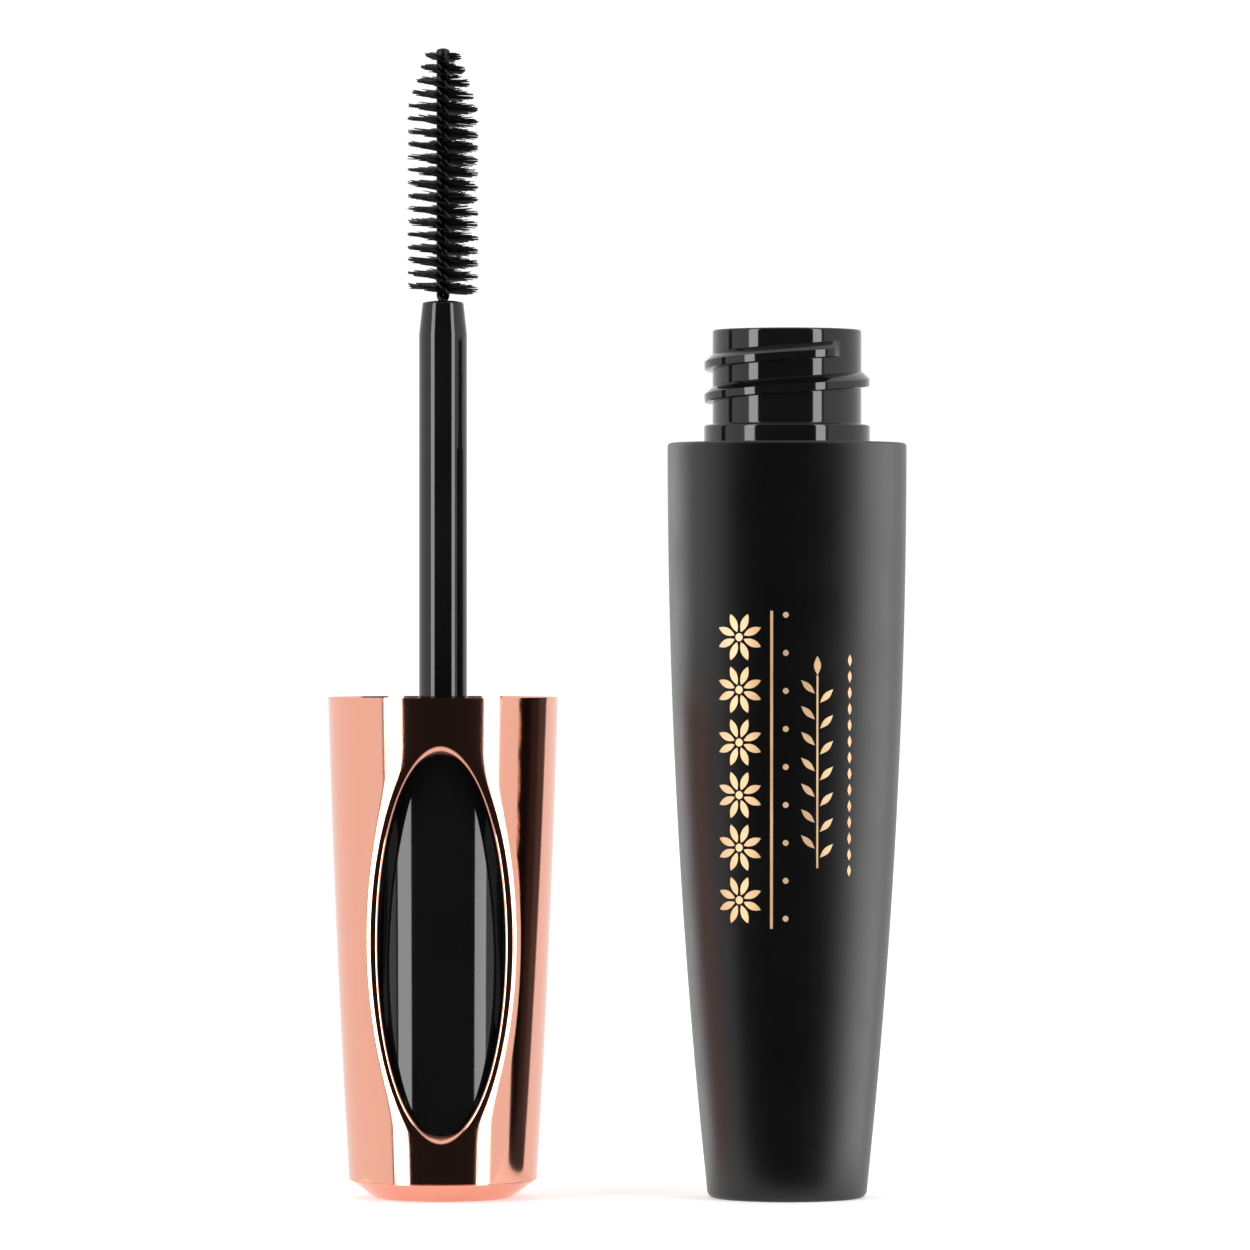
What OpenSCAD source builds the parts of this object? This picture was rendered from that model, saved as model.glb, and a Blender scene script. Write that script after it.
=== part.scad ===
// Mascara pack, open: the bottle stands at the origin and the applicator stands beside it on the
// closed end of its cap, brush up. Millimetres, +Z up, the floor is z = 0.
// The applicator's own axis is the vertical line x = -stand_gap. Turned over about a Y axis halfway
// between the two, it hangs above the neck, goes in, and its thread runs along the neck's thread.

/* [Layout] */
// Distance from the bottle's axis to the axis of the standing applicator
stand_gap = 34.4; // [30:0.1:50]
// Height of the axis that the applicator turns over about
turn_axis_z = 102.5; // [102.5:0.5:110]

/* [Bottle casing] */
// Height of the casing's shoulder face
casing_h = 75.4; // [75.4:0.1:75.4]
// Largest radius of the casing, at its shoulder
casing_r = 11.95; // [11.8:0.05:12.2]
// Drop of the casing's radius per squared millimetre below the shoulder
casing_bow = 0.00071; // [0.0006:0.00001:0.00075]
// Wall of the casing
casing_wall = 1.1; // [1:0.05:1.3]
// Radius of the round edge at the casing's foot
foot_round = 1.0; // [0.6:0.1:1.2]
// Radius of the round edge at the casing's shoulder
shoulder_round = 0.35; // [0.2:0.05:0.6]

/* [Vial and neck] */
// Height of the neck's rim
neck_top = 86.7; // [86.7:0.1:86.7]
// Outer radius of the neck
neck_r = 7.45; // [7.4:0.05:7.5]
// Radius of the neck's bore, which the wiper fills
neck_bore_r = 6.1; // [6:0.05:6.2]
// Radius of the collar at the foot of the neck
collar_r = 8.3; // [8.3:0.05:8.35]
// Height of the collar's top face
collar_top = 77.2; // [76.8:0.1:77.3]
// Outer radius of the vial's body
vial_r = 7.8; // [7.6:0.05:7.9]
// Wall of the vial's body
vial_wall = 0.9; // [0.8:0.05:1]

/* [Screw thread] */
// Rise of the thread in one turn
thread_lead = 3.25; // [3.2:0.05:3.3]
// Crest radius of the neck's thread
thread_crest_r = 8.28; // [8.2:0.02:8.28]
// Turns of thread on the neck
neck_thread_turns = 1.43; // [1.3:0.01:1.45]
// Height of the upper end of the neck's thread
neck_thread_top = 84.75; // [84.6:0.05:84.8]
// Angle of the upper end of the neck's thread, from +X
neck_thread_end = -46; // [-60:1:-30]
// Turns of thread inside the cap
cap_thread_turns = 1.15; // [0.9:0.05:1.2]

/* [Cap] */
// Length of the cap
cap_h = 50; // [50:0.1:50]
// Radius of the cap's mouth
cap_mouth_r = 11.5; // [11.4:0.05:11.6]
// Straight part of the cap's taper
cap_taper = 0.027; // [0.026:0.001:0.028]
// Bowed part of the cap's taper, per squared millimetre
cap_bow = 0.000345; // [0.00033:0.000005:0.00035]
// Wall of the cap's metal shell
shell_wall = 0.5; // [0.4:0.05:0.55]
// Height of the chamfered end piece below the shell
end_h = 1.85; // [1.6:0.05:2]
// Radius of the flat that the cap stands on
end_flat_r = 6.6; // [6.3:0.1:7]
// Half the width of the oval window
window_half_w = 7.25; // [6.8:0.05:7.4]
// Half the height of the oval window
window_half_h = 20.4; // [19.8:0.1:20.6]
// Height of the oval window's centre
window_z = 25.5; // [25.3:0.1:25.7]
// Width of the window's rim
window_rim = 1.15; // [0.9:0.05:1.3]

/* [Wand] */
// Radius of the stem
stem_r = 2.4; // [2.38:0.01:2.42]
// Radius of the stem's tip
stem_tip_r = 2.05; // [1.9:0.05:2.2]
// Height of the stem's tip, in the standing applicator
stem_top = 89.6; // [89.2:0.1:89.8]
// Height of the brush's tip, in the standing applicator
brush_top = 114.9; // [114:0.1:115]
// Largest radius of the brush
brush_r = 3.6; // [3.3:0.1:3.7]
// Rise of one full twist of the brush's wire
twist_lead = 2.58; // [2.4:0.02:2.8]
// Radius of each strand of the twisted wire
strand_r = 0.33; // [0.3:0.01:0.35]

/* [Wiper] */
// Radius of the wiper's orifice, a running fit round the stem
orifice_r = 2.45; // [2.45:0.01:2.5]
// Length of the wiper's orifice
orifice_l = 1.2; // [1:0.1:1.5]

/* [Hidden] */
$fn = 96;
side_steps = 24;          // stretches in a bowed outline
arc_steps = 6;            // stretches in a rounded edge
ridge_step = 10;          // degrees between two sections of a thread
ridge_fade = 14;          // degrees over which a thread's end rises
closed_gap = 0.125;       // between the cap's mouth and the casing's shoulder, screwed down
screw_turns = 1;          // turns from the start of the thread to screwed down

// The neck side
flange_t = 1.2;           // casing's inward flange, which the vial's shoulder ring hangs under
plug_t = 1.6;
plug_r = 6.6;
ring_r = 9.4;             // vial's shoulder ring
ring_t = 1;
vial_floor = 1.8;
vial_taper_top = 14;
vial_foot_r = 6.6;
wiper_seat_r = 6.9;
wiper_seat_t = 0.8;
wiper_mouth_r = 5.5;
wiper_throat_r = 4.7;
wiper_throat_z = neck_top - 6.5;
wiper_tip_z = 70.3;
wiper_wall = 0.75;
channel_r = 3.9;          // what the brush keeps open in the thick formula
channel_z = 7;
formula_top = 46;

// The cap side, in the standing applicator
liner_gap = 0.05;
liner_bore_r = 8.45;
liner_mouth_r = 9;
liner_end_r = 8.6;
liner_z = 3.2;
liner_top = cap_h - 0.2;
web_z = cap_h - 12.1;     // face that the seal ring lies on
web_t = 1.5;
boss_r = 3.6;
stem_foot = 23;
stem_bore_r = 1.3;
stem_collar_r = 3.6;
stem_collar_t = 1;
stem_taper = 3.3;
wire_z = 85;              // lower end of the wire, gripped in the stem
wire_r = 2 * strand_r;
brush_z = stem_top + 0.6;
brush_tip_r = 1.6;
brush_tip_slope = 0.33;
fin_t = 0.3;
fin_root_r = 0.45;
fin_step = 15;
wire_step = 30;
wire_end_gap = 0.3;       // between the wire's end and the bristles' tips
strand_cut = strand_r * sqrt(1 + pow(twist_lead / (2 * PI * strand_r), 2));
seal_t = 0.8;
stopper_r = 1.1;
stopper_t = 1.5;
weight_r = 7.5;
weight_bore_r = 2;
weight_z = 7;
weight_h = 6;
cap_thread_crest_r = 7.65;

// Travel from above the neck to screwed down
screw_travel = thread_lead * screw_turns;
full_travel = 2 * turn_axis_z - cap_h - casing_h - closed_gap;
insert_travel = full_travel - screw_travel;

function casing_r_at(z) = casing_r - casing_bow * pow(casing_h - z, 2);
function cap_r_at(z) = cap_mouth_r - cap_taper * (cap_h - z) - cap_bow * pow(cap_h - z, 2);
function liner_r_at(z) = liner_end_r + (liner_mouth_r - liner_end_r) * (z - liner_z) / (liner_top - liner_z);
function brush_r_at(z) = min(brush_r, brush_tip_r + brush_tip_slope * max(0, brush_top - z));
function arc(cx, cz, r, a0, a1) = [for (i = [0 : arc_steps])
    let (a = a0 + (a1 - a0) * i / arc_steps) [cx + r * cos(a), cz + r * sin(a)]];
function along(z0, z1, r) = [for (i = [0 : side_steps])
    let (z = z0 + (z1 - z0) * i / side_steps) [r(z), z]];
function ellipse_points(a, b) = [for (i = [0 : 59]) [a * cos(6 * i), b * sin(6 * i)]];
function fade(t, span) = min(1, t * span / ridge_fade, (1 - t) * span / ridge_fade);
function twist_at(z) = -360 * (z - wire_z - strand_cut) / twist_lead;

// Stands what is drawn round its own axis where the applicator stands
module at_stand() {
    translate([-stand_gap, 0, 0]) children();
}

// A section swept along a helix. section(t, z) gives its corners [r, dz] in the plane through the
// axis, anticlockwise; inward is true where they run clockwise. A negative lead is left-handed.
module helical_sweep(lead, z0, a0, span, step, section, inward = false) {
    n = ceil(span / step);
    m = len(section(0, z0));
    turn = lead > 0 ? 1 : -1;
    rings = [for (i = [0 : n])
        let (t = i / n, a = a0 + turn * span * t, z = z0 + abs(lead) * span * t / 360)
        for (p = section(t, z)) [p[0] * cos(a), p[0] * sin(a), z + p[1]]];
    sides = [for (i = [0 : n - 1], j = [0 : m - 1])
        let (a = m * i + j, b = m * i + (j + 1) % m)
        each [[a, b, b + m], [a, b + m, a + m]]];
    ends = [for (j = [1 : m - 2])
        each [[0, j + 1, j], [m * n, m * n + j, m * n + j + 1]]];
    flip = (turn > 0) == inward;
    faces = concat(sides, ends);
    polyhedron(rings, flip ? [for (f = faces) [f[2], f[1], f[0]]] : faces);
}

function neck_ridge(t, z) =
    let (h = max(0.05, fade(t, 360 * neck_thread_turns)), crest = neck_r + (thread_crest_r - neck_r) * h)
    [[neck_r - 0.3, -0.75], [crest, -0.2], [crest, 0.2], [neck_r - 0.3, 0.75]];
function cap_ridge(t, z) =
    let (h = max(0.05, fade(t, 360 * cap_thread_turns)),
         crest = liner_bore_r - (liner_bore_r - cap_thread_crest_r) * h)
    [[liner_bore_r + 0.25, -0.7], [crest, -0.2], [crest, 0.2], [liner_bore_r + 0.25, 0.7]];
// A strand cut by the plane through the axis: as wide as the wire, and taller by the helix's slope
strand_section = [for (a = [0 : 60 : 300]) [strand_r * (1.03 + cos(a)), strand_cut * sin(a)]];
function fin(t, z) = [[fin_root_r, -fin_t / 2], [brush_r_at(z), -fin_t / 2],
                      [brush_r_at(z), fin_t / 2], [fin_root_r, fin_t / 2]];

// Soft-touch outer casing: a bowed tube with a flange at its shoulder
module bottle_casing() {
    outer = concat(arc(casing_r_at(foot_round) - foot_round, foot_round, foot_round, -90, 0),
                   along(foot_round + 0.1, casing_h - shoulder_round, function (z) casing_r_at(z)),
                   arc(casing_r - shoulder_round, casing_h - shoulder_round, shoulder_round, 10, 90));
    inner = concat([[collar_r, casing_h], [collar_r, casing_h - flange_t]],
                   along(casing_h - flange_t, plug_t, function (z) casing_r_at(z) - casing_wall),
                   [[plug_r, plug_t], [plug_r, 0]]);
    color("#1d1d1d") rotate_extrude() polygon(concat(outer, inner));
}

// Disc pressed into the casing's foot, flush with it
module base_plug() {
    color("#161616") cylinder(r = plug_r, h = plug_t);
}

// Vial with its shoulder ring, collar, neck and screw thread, in one moulding
module inner_vial() {
    ring_z = casing_h - flange_t;
    inner_r = vial_r - vial_wall;
    outline = [
        [0, plug_t], [vial_foot_r, plug_t], [vial_r, vial_taper_top], [vial_r, ring_z - ring_t],
        [ring_r, ring_z - ring_t], [ring_r, ring_z], [collar_r, ring_z], [collar_r, collar_top],
        [neck_r, collar_top], [neck_r, neck_top], [wiper_seat_r, neck_top],
        [wiper_seat_r, neck_top - wiper_seat_t], [neck_bore_r, neck_top - wiper_seat_t],
        [neck_bore_r, ring_z - ring_t], [inner_r, ring_z - 3], [inner_r, vial_taper_top],
        [vial_foot_r - vial_wall, plug_t + vial_floor], [0, plug_t + vial_floor]];
    span = 360 * neck_thread_turns;
    color("#0c0c0e") union() {
        rotate_extrude() polygon(outline);
        helical_sweep(thread_lead, neck_thread_top - thread_lead * neck_thread_turns,
                      neck_thread_end - span, span, ridge_step, function (t, z) neck_ridge(t, z));
    }
}

// Rod wiper: a seated flange, a sleeve in the neck and a cone down to the orifice
module wiper() {
    seat_z = neck_top - wiper_seat_t;
    sleeve_z = wiper_tip_z + 5;
    outline = [
        [wiper_mouth_r, neck_top], [wiper_throat_r, wiper_throat_z], [orifice_r, wiper_tip_z + orifice_l],
        [orifice_r, wiper_tip_z], [orifice_r + wiper_wall, wiper_tip_z],
        [wiper_throat_r + wiper_wall, sleeve_z], [neck_bore_r, sleeve_z + 0.8],
        [neck_bore_r, seat_z], [wiper_seat_r, seat_z], [wiper_seat_r, neck_top]];
    color("#dcdcd6") rotate_extrude() polygon(outline);
}

// The thick formula, with the channel that the brush keeps open in it
module mascara_formula() {
    inner_r = vial_r - vial_wall;
    floor_z = plug_t + vial_floor;
    outline = [[0, floor_z], [vial_foot_r - vial_wall, floor_z], [inner_r, vial_taper_top],
               [inner_r, formula_top], [channel_r, formula_top - 1.5], [channel_r, channel_z],
               [0, channel_z]];
    color("#050505") rotate_extrude() polygon(outline);
}

// Metal shell of the cap, with the oval window's rim turned in towards the liner
module cap_shell() {
    at_stand() color("#e8ab96") union() {
        difference() {
            rotate_extrude() polygon(concat(
                along(end_h, cap_h, function (z) cap_r_at(z)),
                along(cap_h, end_h, function (z) cap_r_at(z) - shell_wall)));
            window_prism(window_half_w, window_half_h);
        }
        intersection() {
            rotate_extrude() polygon(concat(
                along(end_h, cap_h, function (z) cap_r_at(z) - shell_wall / 4),
                along(cap_h, end_h, function (z) liner_r_at(z) + liner_gap)));
            difference() {
                window_prism(window_half_w + 0.2, window_half_h + 0.2);
                window_prism(window_half_w - window_rim, window_half_h - window_rim);
            }
        }
    }
}

// An oval prism through the front of the cap
module window_prism(a, b) {
    translate([0, 0, window_z]) rotate([90, 0, 0])
        linear_extrude(height = cap_mouth_r + 2) polygon(ellipse_points(a, b));
}

// Chamfered end of the cap, with a spigot inside the shell; the cap stands on its flat
module cap_end_plug() {
    spigot_r = cap_r_at(end_h) - shell_wall;
    outline = [[0, 0], [end_flat_r, 0], [end_flat_r + 0.35, 0.12], [cap_r_at(end_h) - 0.12, end_h - 0.08],
               [cap_r_at(end_h) - 0.2, end_h], [spigot_r, end_h], [spigot_r, liner_z - 0.1],
               [0, liner_z - 0.1]];
    at_stand() color("#e6a993") rotate_extrude() polygon(outline);
}

// Liner of the cap: threaded mouth, web, and the boss that holds the stem
module inner_cap() {
    wall_in = function (z) liner_r_at(z) - 0.9;
    lip_z = liner_top - 1.2;
    lip_r = cap_r_at(liner_top) - shell_wall - 0.1;
    outline = [
        [liner_end_r, liner_z], [liner_r_at(lip_z), lip_z], [lip_r, lip_z], [lip_r, liner_top],
        [liner_bore_r, liner_top], [liner_bore_r, web_z], [stem_r, web_z], [stem_r, stem_foot],
        [boss_r, stem_foot], [boss_r, web_z - web_t], [wall_in(web_z), web_z - web_t],
        [wall_in(liner_z), liner_z]];
    span = 360 * cap_thread_turns;
    // Half a pitch below the neck's ridge, from the neck's upper end on, before the first turn
    start_world_z = neck_thread_top - thread_lead / 2 + thread_lead * ridge_fade / 360;
    start_z = 2 * turn_axis_z - insert_travel - start_world_z;
    start_angle = 180 - (neck_thread_end + ridge_fade);
    at_stand() color("#0c0c0e") union() {
        rotate_extrude() polygon(outline);
        helical_sweep(thread_lead, start_z - thread_lead * cap_thread_turns, start_angle - span,
                      span, ridge_step, function (t, z) cap_ridge(t, z), true);
    }
}

// Gasket that meets the wiper's flange when the cap is screwed down
module seal_ring() {
    at_stand() color("#f0efea") rotate_extrude()
        polygon([[stem_collar_r + 0.1, web_z + liner_gap], [7.2, web_z + liner_gap],
                 [7.2, web_z + liner_gap + seal_t], [stem_collar_r + 0.1, web_z + liner_gap + seal_t]]);
}

// Steel ring that gives the cap its weight
module cap_weight() {
    at_stand() color("#9a9da0") translate([0, 0, weight_z]) difference() {
        cylinder(r = weight_r, h = weight_h);
        translate([0, 0, -1]) cylinder(r = weight_bore_r, h = weight_h + 2);
    }
}

// Hollow stem, with a collar on the liner's web and a tapered tip round the wire
module stem() {
    outline = [
        [stem_bore_r, stem_foot], [stem_r, stem_foot], [stem_r, web_z], [stem_collar_r, web_z],
        [stem_collar_r, web_z + stem_collar_t], [stem_r, web_z + stem_collar_t],
        [stem_r, stem_top - stem_taper], [stem_tip_r, stem_top - 0.12], [stem_tip_r - 0.25, stem_top],
        [wire_r, stem_top], [wire_r, wire_z], [stem_bore_r, wire_z]];
    at_stand() color("#141417") rotate_extrude() polygon(outline);
}

// Stopper in the stem's bore, behind the wire's end
module stem_stopper() {
    at_stand() color("#b0b0b0") translate([0, 0, wire_z - stopper_t - 0.5])
        cylinder(r = stopper_r, h = stopper_t);
}

// Two strands of one folded wire, twisted left-handed
module brush_wire() {
    h = brush_top - wire_end_gap - wire_z - 2 * strand_cut;
    at_stand() color("#2a2a2c") for (start = [0, 180])
        helical_sweep(-twist_lead, wire_z + strand_cut, start, 360 * h / twist_lead, wire_step,
                      function (t, z) strand_section);
}

// The bristles' envelope: two fins, wound as the wire's twist winds the bristles
module bristles() {
    h = brush_top - brush_z - fin_t;
    root_z = brush_z + fin_t / 2;
    at_stand() color("#0a0a0a") for (start = [90 + twist_at(root_z), 270 + twist_at(root_z)])
        helical_sweep(-twist_lead, root_z, start, 360 * h / twist_lead, fin_step,
                      function (t, z) fin(t, z));
}

bottle_casing();
base_plug();
inner_vial();
wiper();
mascara_formula();
cap_shell();
cap_end_plug();
inner_cap();
seal_ring();
cap_weight();
stem();
stem_stopper();
brush_wire();
bristles();
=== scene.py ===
"""Looks for the open mascara pack: its bottle at the origin, its applicator on its cap beside it.

Lengths in this script are millimetres until a mesh is made; MM turns them into metres.
"""

import math
import random

import bmesh
import bpy
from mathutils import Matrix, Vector


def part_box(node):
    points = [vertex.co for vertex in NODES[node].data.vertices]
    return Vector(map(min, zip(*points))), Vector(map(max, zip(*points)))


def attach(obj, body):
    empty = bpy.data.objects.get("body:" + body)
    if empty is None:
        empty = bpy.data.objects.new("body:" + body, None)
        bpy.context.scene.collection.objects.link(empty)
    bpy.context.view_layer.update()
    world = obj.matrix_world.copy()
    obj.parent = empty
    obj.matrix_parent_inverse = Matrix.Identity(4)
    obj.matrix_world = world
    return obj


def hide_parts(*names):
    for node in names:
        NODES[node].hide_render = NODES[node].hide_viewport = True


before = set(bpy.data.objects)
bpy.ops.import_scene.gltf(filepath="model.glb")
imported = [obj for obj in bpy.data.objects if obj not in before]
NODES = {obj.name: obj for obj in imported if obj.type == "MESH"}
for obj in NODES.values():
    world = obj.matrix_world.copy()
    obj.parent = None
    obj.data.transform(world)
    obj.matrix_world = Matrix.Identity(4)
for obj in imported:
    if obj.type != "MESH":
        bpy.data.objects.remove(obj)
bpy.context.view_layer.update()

MM = 0.001
TAU = 2 * math.pi


def span(node, axis):
    """Where a CAD node starts and ends along an axis, in millimetres."""
    low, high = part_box(node)
    return low[axis] / MM, high[axis] / MM


# ---- places, from the CAD boxes --------------------------------------------------------------
X, Z = 0, 2
CASING_R = span("bottle_casing", X)[1]
CASING_H = span("bottle_casing", Z)[1]
NECK_TOP = span("inner_vial", Z)[1]
TIP_Z = span("wiper", Z)[0]
STAND_X = (span("cap_shell", X)[0] + span("cap_shell", X)[1]) / 2
CAP_R = span("cap_shell", X)[1] - STAND_X
CAP_Z0, CAP_H = span("cap_shell", Z)
LINER_Z0, LINER_Z1 = span("inner_cap", Z)
STEM_Z0, STEM_Z1 = span("stem", Z)
WIRE_Z0 = span("brush_wire", Z)[0]
BRUSH_Z0, BRUSH_Z1 = span("bristles", Z)

# ---- sizes that several pieces share -----------------------------------------------------------
WEB_Z = CAP_H - 12.1  # top of the liner's web, which holds the stem
NECK_R, NECK_CREST_R, COLLAR_R = 7.45, 8.28, 8.3
LINER_BORE_R, LINER_CREST_R = 8.45, 7.65
STEM_R = 2.4
THREAD_LEAD = 3.25
TWIST_LEAD = 2.58
STRAND_R, STRAND_REACH = 0.33, 0.335  # of one wire, and of its centre from the brush's axis
BRUSH_R, BRUSH_END_R, BRUSH_FLARE = 3.6, 1.6, 0.33
CASING_CURVE = 0.00071  # both outer walls narrow away from the joint between them
CAP_SLOPE, CAP_CURVE = 0.027, 0.000345


def casing_r(z):
    return CASING_R - CASING_CURVE * (CASING_H - z) ** 2


def cap_r(z):
    d = CAP_H - z
    return CAP_R - CAP_SLOPE * d - CAP_CURVE * d * d


def liner_r(z):
    return 8.6 + 0.4 * (z - LINER_Z0) / (LINER_Z1 - LINER_Z0)


def brush_r(z):
    return min(BRUSH_R, BRUSH_END_R + BRUSH_FLARE * max(0.0, BRUSH_Z1 - z))


# ---- meshes ----------------------------------------------------------------------------------
def make(name, points, faces, material, body, replaced=(), slot=None, sharp=32):
    """A smooth mesh from points in millimetres, sharp along its steep edges, riding on a body."""
    mesh = bpy.data.meshes.new(name)
    mesh.from_pydata([(x * MM, y * MM, z * MM) for x, y, z in points], [], faces)
    mesh.validate()
    mesh.update()
    for p in mesh.polygons:
        p.use_smooth = True
    if sharp:
        mesh.set_sharp_from_angle(angle=math.radians(sharp))
    piece = bpy.data.objects.new(name, mesh)
    bpy.context.scene.collection.objects.link(piece)
    mesh.materials.append(material)
    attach(piece, body)
    if replaced:
        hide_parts(*replaced)
    return piece


def rounded(corners, steps=5):
    """An outline with its corners rounded off. A corner is (r, z) or (r, z, radius)."""
    out = []
    n = len(corners)
    for i, c in enumerate(corners):
        radius = c[2] if len(c) > 2 else 0
        if not radius:
            out.append((c[0], c[1]))
            continue
        a, b = corners[i - 1], corners[(i + 1) % n]
        ax, az = a[0] - c[0], a[1] - c[1]
        bx, bz = b[0] - c[0], b[1] - c[1]
        la, lb = math.hypot(ax, az), math.hypot(bx, bz)
        ax, az, bx, bz = ax / la, az / la, bx / lb, bz / lb
        half = math.acos(max(-1, min(1, ax * bx + az * bz))) / 2
        reach = min(radius / math.tan(half), 0.49 * la, 0.49 * lb)
        radius = reach * math.tan(half)
        mx, mz = ax + bx, az + bz
        ml = math.hypot(mx, mz)
        far = radius / math.sin(half)
        cx, cz = c[0] + mx / ml * far, c[1] + mz / ml * far
        a0 = math.atan2(c[1] + az * reach - cz, c[0] + ax * reach - cx)
        a1 = math.atan2(c[1] + bz * reach - cz, c[0] + bx * reach - cx)
        turn = (a1 - a0 + math.pi) % TAU - math.pi
        for k in range(steps + 1):
            t = a0 + turn * k / steps
            out.append((cx + radius * math.cos(t), cz + radius * math.sin(t)))
    return out


def along(z0, z1, radius, steps=24):
    return [(radius(z0 + (z1 - z0) * i / steps), z0 + (z1 - z0) * i / steps)
            for i in range(steps + 1)]


def supported(outline, long=2.5, near=0.12):
    """The outline with a point just inside each end of its long stretches, to hold the shading."""
    out = []
    for i, p in enumerate(outline):
        q = outline[(i + 1) % len(outline)]
        length = math.hypot(q[0] - p[0], q[1] - p[1])
        out.append(p)
        if length > long:
            for s in (near / length, 1 - near / length):
                out.append((p[0] + (q[0] - p[0]) * s, p[1] + (q[1] - p[1]) * s))
    return out


def lathe(outline, x=0.0, segments=160):
    """Points and faces of a closed (r, z) outline, anticlockwise, turned about an upright axis."""
    clean = supported([p for i, p in enumerate(outline)
                       if math.hypot(p[0] - outline[i - 1][0], p[1] - outline[i - 1][1]) > 1e-4])
    points, rows, faces = [], [], []
    for r, z in clean:
        if r < 1e-6:
            rows.append([len(points)] * segments)
            points.append((x, 0.0, z))
            continue
        rows.append(list(range(len(points), len(points) + segments)))
        for k in range(segments):
            a = TAU * k / segments
            points.append((x + r * math.cos(a), r * math.sin(a), z))
    for i, row in enumerate(rows):
        after = rows[(i + 1) % len(rows)]
        if row[0] == row[1] and after[0] == after[1]:
            continue
        for k in range(segments):
            m = (k + 1) % segments
            face = [row[k], row[m], after[m], after[k]]
            face = [v for j, v in enumerate(face) if v != face[j - 1]]
            if len(face) > 2:
                faces.append(tuple(face))
    return points, faces


def joined(*parts):
    points, faces = [], []
    for more_points, more_faces in parts:
        base = len(points)
        points += more_points
        faces += [tuple(base + v for v in f) for f in more_faces]
    return points, faces


def thread(lead, z0, a0, turns, section, fade, x=0.0, step=3.0, inward=False):
    """A ridge along a helix. section(h) gives its corners (r, dz) at a height h of 0 to 1."""
    sweep = 360 * turns
    n = math.ceil(sweep / step)
    points, faces = [], []
    m = len(section(1))
    for i in range(n + 1):
        t = sweep * i / n
        h = min(1, t / fade, (sweep - t) / fade)
        h = max(0.03, h * h * (3 - 2 * h))
        a = math.radians(a0 + t)
        for r, dz in section(h):
            points.append((x + r * math.cos(a), r * math.sin(a), z0 + lead * t / 360 + dz))
    for i in range(n):
        for j in range(m):
            a, b = m * i + j, m * i + (j + 1) % m
            faces.append((a, b, b + m, a + m))
    faces.append(tuple(range(m - 1, -1, -1)))
    faces.append(tuple(range(m * n, m * n + m)))
    if inward:
        faces = [f[::-1] for f in faces]
    return points, faces


def tube(path, radius, sides=10, capped=True):
    """Points and faces of a tube along a path. radius is a number or a function of 0 to 1."""
    points, faces = [], []
    n = len(path)
    side = None
    for i, p in enumerate(path):
        q, s = path[max(0, i - 1)], path[min(n - 1, i + 1)]
        t = unit([s[k] - q[k] for k in range(3)])
        if side is None:
            side = unit(cross(t, (0, 0, 1) if abs(t[2]) < 0.9 else (1, 0, 0)))
        d = dot(side, t)
        side = unit([side[k] - d * t[k] for k in range(3)])
        up = cross(t, side)
        r = radius(i / (n - 1)) if callable(radius) else radius
        for j in range(sides):
            a = TAU * j / sides
            points.append(tuple(p[k] + r * (math.cos(a) * side[k] + math.sin(a) * up[k])
                                for k in range(3)))
    for i in range(n - 1):
        for j in range(sides):
            m = (j + 1) % sides
            faces.append((sides * i + j, sides * i + m, sides * (i + 1) + m, sides * (i + 1) + j))
    if capped:
        faces.append(tuple(range(sides - 1, -1, -1)))
        faces.append(tuple(range(sides * (n - 1), sides * n)))
    return points, faces


def dot(a, b):
    return a[0] * b[0] + a[1] * b[1] + a[2] * b[2]


def cross(a, b):
    return (a[1] * b[2] - a[2] * b[1], a[2] * b[0] - a[0] * b[2], a[0] * b[1] - a[1] * b[0])


def unit(a):
    length = math.sqrt(dot(a, a))
    return [v / length for v in a]


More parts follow.
